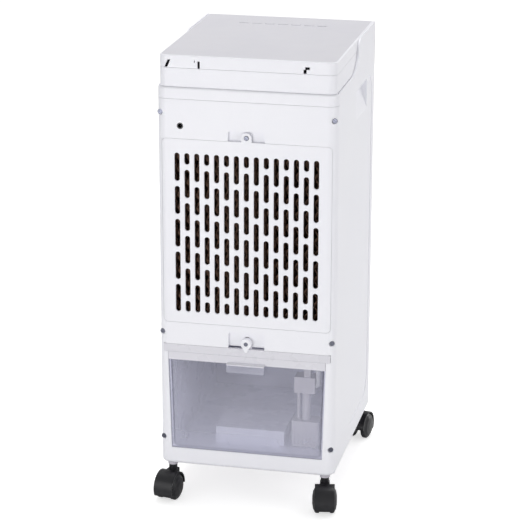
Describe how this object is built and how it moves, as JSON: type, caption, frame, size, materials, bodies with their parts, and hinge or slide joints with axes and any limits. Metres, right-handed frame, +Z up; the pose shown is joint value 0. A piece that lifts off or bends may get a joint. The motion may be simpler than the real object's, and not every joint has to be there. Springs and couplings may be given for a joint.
{
  "type": "evaporative cooler",
  "caption": "Upright evaporative air cooler on casters, with a slotted filter door, pull-out water tank, wet pad, blower and louvred outlet",
  "frame": {"origin": "on the floor, under the middle of the cabinet and of its footprint", "axes": "+Z up; +Y out of the rear face with the filter door and tank; +X towards the right side of the cabinet, seen from behind facing its front"},
  "size_m": [0.2768, 0.353, 0.6794],
  "materials": {
    "white_abs": "satin moulded ABS",
    "grey_panel": "satin light grey top panel",
    "black_gloss": "gloss black control strip",
    "clear_tank": "translucent moulded tank",
    "pad_fibre": "dark brown corrugated cellulose",
    "black_plastic": "satin black nylon",
    "inner_grey": "plain grey moulding",
    "steel": "plated steel",
    "motor_steel": "painted steel can",
    "board_green": "green circuit board",
    "hose_rubber": "pale silicone"
  },
  "bodies": {
    "cabinet": {"base_tray": "inner_grey", "side_panel_left": "white_abs", "side_panel_right": "white_abs", "rear_shell": "white_abs", "rear_band": "white_abs", "front_panel": "white_abs", "outlet_frame": "white_abs", "control_fascia": "black_gloss", "head_housing": "white_abs", "top_cover": "white_abs", "top_panel": "grey_panel", "control_board": "board_green", "cord_bush": "black_plastic", "panel_screws": "steel", "pad_frame": "inner_grey", "evaporative_pad": "pad_fibre", "water_distributor": "inner_grey", "tank_divider": "inner_grey", "fan_scroll": "inner_grey", "air_duct": "inner_grey", "fan_motor": "motor_steel", "swing_motor": "motor_steel", "pump": "inner_grey", "pump_hose": "hose_rubber"},
    "tank": {"water_tank": "clear_tank"},
    "latch": {"tank_latch": "white_abs", "latch_cam": "inner_grey", "latch_screw": "steel"},
    "door": {"filter_door": "white_abs", "door_screw": "steel"},
    "fan": {"fan_wheel": "inner_grey", "motor_shaft": "steel"},
    "vane_1": {"vane_1": "white_abs"},
    "vane_2": {"vane_2": "white_abs"},
    "vane_3": {"vane_3": "white_abs"},
    "vane_4": {"vane_4": "white_abs"},
    "vane_5": {"vane_5": "white_abs"},
    "vane_link": {"vane_link": "white_abs"},
    "louvre_1": {"louvre_1": "white_abs"},
    "louvre_2": {"louvre_2": "white_abs"},
    "louvre_3": {"louvre_3": "white_abs"},
    "louvre_4": {"louvre_4": "white_abs"},
    "louvre_5": {"louvre_5": "white_abs"},
    "louvre_link": {"louvre_link": "white_abs"},
    "button_1": {"button_1": "grey_panel"},
    "button_2": {"button_2": "grey_panel"},
    "button_3": {"button_3": "grey_panel"},
    "button_4": {"button_4": "grey_panel"},
    "button_5": {"button_5": "grey_panel"},
    "button_6": {"button_6": "grey_panel"},
    "button_7": {"button_7": "grey_panel"},
    "caster_front_left": {"caster_front_left": "black_plastic"},
    "wheels_front_left": {"caster_wheels_front_left": "black_plastic"},
    "caster_front_right": {"caster_front_right": "black_plastic"},
    "wheels_front_right": {"caster_wheels_front_right": "black_plastic"},
    "caster_rear_left": {"caster_rear_left": "black_plastic"},
    "wheels_rear_left": {"caster_wheels_rear_left": "black_plastic"},
    "caster_rear_right": {"caster_rear_right": "black_plastic"},
    "wheels_rear_right": {"caster_wheels_rear_right": "black_plastic"}
  },
  "joints": [
    {"name": "tank_slide", "type": "slide", "parent": "cabinet", "child": "tank", "axis": [0, 1, 0], "range_m": [0, 0.2]},
    {"name": "latch_turn", "type": "hinge", "parent": "tank", "child": "latch", "pos_m": [0, 0.152, 0.256], "axis": [0, 1, 0], "range_deg": [0, 90]},
    {"name": "door_pull", "type": "slide", "parent": "cabinet", "child": "door", "axis": [0, 1, 0], "range_m": [0, 0.06]},
    {"name": "fan_spin", "type": "hinge", "parent": "cabinet", "child": "fan", "pos_m": [-0.008, 0.045, 0.391], "axis": [0, 1, 0], "continuous": true},
    {"name": "vane_1_swing", "type": "hinge", "parent": "cabinet", "child": "vane_1", "pos_m": [-0.072, -0.108, 0.5421], "axis": [0, 0, 1], "range_deg": [-45, 45]},
    {"name": "vane_2_swing", "type": "hinge", "parent": "cabinet", "child": "vane_2", "pos_m": [-0.036, -0.108, 0.5421], "axis": [0, 0, 1], "range_deg": [-45, 45]},
    {"name": "vane_swing", "type": "hinge", "parent": "cabinet", "child": "vane_3", "pos_m": [0, -0.108, 0.5421], "axis": [0, 0, 1], "range_deg": [-45, 45]},
    {"name": "vane_4_swing", "type": "hinge", "parent": "cabinet", "child": "vane_4", "pos_m": [0.036, -0.108, 0.5421], "axis": [0, 0, 1], "range_deg": [-45, 45]},
    {"name": "vane_5_swing", "type": "hinge", "parent": "cabinet", "child": "vane_5", "pos_m": [0.072, -0.108, 0.5421], "axis": [0, 0, 1], "range_deg": [-45, 45]},
    {"name": "vane_link_turn", "type": "hinge", "parent": "vane_3", "child": "vane_link", "pos_m": [0, -0.096, 0.5021], "axis": [0, 0, 1], "range_deg": [-45, 45]},
    {"name": "louvre_1_tilt", "type": "hinge", "parent": "cabinet", "child": "louvre_1", "pos_m": [0, -0.138, 0.5001], "axis": [1, 0, 0], "range_deg": [-35, 40]},
    {"name": "louvre_2_tilt", "type": "hinge", "parent": "cabinet", "child": "louvre_2", "pos_m": [0, -0.138, 0.5211], "axis": [1, 0, 0], "range_deg": [-35, 40]},
    {"name": "louvre_tilt", "type": "hinge", "parent": "cabinet", "child": "louvre_3", "pos_m": [0, -0.138, 0.5421], "axis": [1, 0, 0], "range_deg": [-35, 40]},
    {"name": "louvre_4_tilt", "type": "hinge", "parent": "cabinet", "child": "louvre_4", "pos_m": [0, -0.138, 0.5631], "axis": [1, 0, 0], "range_deg": [-35, 40]},
    {"name": "louvre_5_tilt", "type": "hinge", "parent": "cabinet", "child": "louvre_5", "pos_m": [0, -0.138, 0.5841], "axis": [1, 0, 0], "range_deg": [-35, 40]},
    {"name": "louvre_link_turn", "type": "hinge", "parent": "louvre_3", "child": "louvre_link", "pos_m": [0.072, -0.13, 0.5421], "axis": [1, 0, 0], "range_deg": [-40, 35]},
    {"name": "button_1_press", "type": "slide", "parent": "cabinet", "child": "button_1", "axis": [0, 0, -1], "range_m": [0, 0.001], "stiffness_N_per_m": 400},
    {"name": "button_2_press", "type": "slide", "parent": "cabinet", "child": "button_2", "axis": [0, 0, -1], "range_m": [0, 0.001], "stiffness_N_per_m": 400},
    {"name": "button_3_press", "type": "slide", "parent": "cabinet", "child": "button_3", "axis": [0, 0, -1], "range_m": [0, 0.001], "stiffness_N_per_m": 400},
    {"name": "button_4_press", "type": "slide", "parent": "cabinet", "child": "button_4", "axis": [0, 0, -1], "range_m": [0, 0.001], "stiffness_N_per_m": 400},
    {"name": "button_5_press", "type": "slide", "parent": "cabinet", "child": "button_5", "axis": [0, 0, -1], "range_m": [0, 0.001], "stiffness_N_per_m": 400},
    {"name": "button_6_press", "type": "slide", "parent": "cabinet", "child": "button_6", "axis": [0, 0, -1], "range_m": [0, 0.001], "stiffness_N_per_m": 400},
    {"name": "button_7_press", "type": "slide", "parent": "cabinet", "child": "button_7", "axis": [0, 0, -1], "range_m": [0, 0.001], "stiffness_N_per_m": 400},
    {"name": "swivel_front_left", "type": "hinge", "parent": "cabinet", "child": "caster_front_left", "pos_m": [-0.116, -0.137, 0.05], "axis": [0, 0, 1], "continuous": true},
    {"name": "roll_front_left", "type": "hinge", "parent": "caster_front_left", "child": "wheels_front_left", "pos_m": [-0.11891, -0.15069, 0.02], "axis": [-0.9781, 0.2079, 0], "continuous": true},
    {"name": "swivel_front_right", "type": "hinge", "parent": "cabinet", "child": "caster_front_right", "pos_m": [0.116, -0.137, 0.05], "axis": [0, 0, 1], "continuous": true},
    {"name": "roll_front_right", "type": "hinge", "parent": "caster_front_right", "child": "wheels_front_right", "pos_m": [0.11855, -0.15077, 0.02], "axis": [-0.9833, -0.1822, 0], "continuous": true},
    {"name": "swivel_rear_left", "type": "hinge", "parent": "cabinet", "child": "caster_rear_left", "pos_m": [-0.116, 0.137, 0.05], "axis": [0, 0, 1], "continuous": true},
    {"name": "roll_rear_left", "type": "hinge", "parent": "caster_rear_left", "child": "wheels_rear_left", "pos_m": [-0.11855, 0.15077, 0.02], "axis": [0.9833, 0.1822, 0], "continuous": true},
    {"name": "swivel_rear_right", "type": "hinge", "parent": "cabinet", "child": "caster_rear_right", "pos_m": [0.116, 0.137, 0.05], "axis": [0, 0, 1], "continuous": true},
    {"name": "roll_rear_right", "type": "hinge", "parent": "caster_rear_right", "child": "wheels_rear_right", "pos_m": [0.11891, 0.15069, 0.02], "axis": [0.9781, -0.2079, 0], "continuous": true}
  ],
  "couplings": [
    {"joint": "vane_1_swing", "follows": "vane_swing", "ratio": 1},
    {"joint": "vane_2_swing", "follows": "vane_swing", "ratio": 1},
    {"joint": "vane_4_swing", "follows": "vane_swing", "ratio": 1},
    {"joint": "vane_5_swing", "follows": "vane_swing", "ratio": 1},
    {"joint": "vane_link_turn", "follows": "vane_swing", "ratio": -1},
    {"joint": "louvre_1_tilt", "follows": "louvre_tilt", "ratio": 1},
    {"joint": "louvre_2_tilt", "follows": "louvre_tilt", "ratio": 1},
    {"joint": "louvre_4_tilt", "follows": "louvre_tilt", "ratio": 1},
    {"joint": "louvre_5_tilt", "follows": "louvre_tilt", "ratio": 1},
    {"joint": "louvre_link_turn", "follows": "louvre_tilt", "ratio": -1}
  ]
}
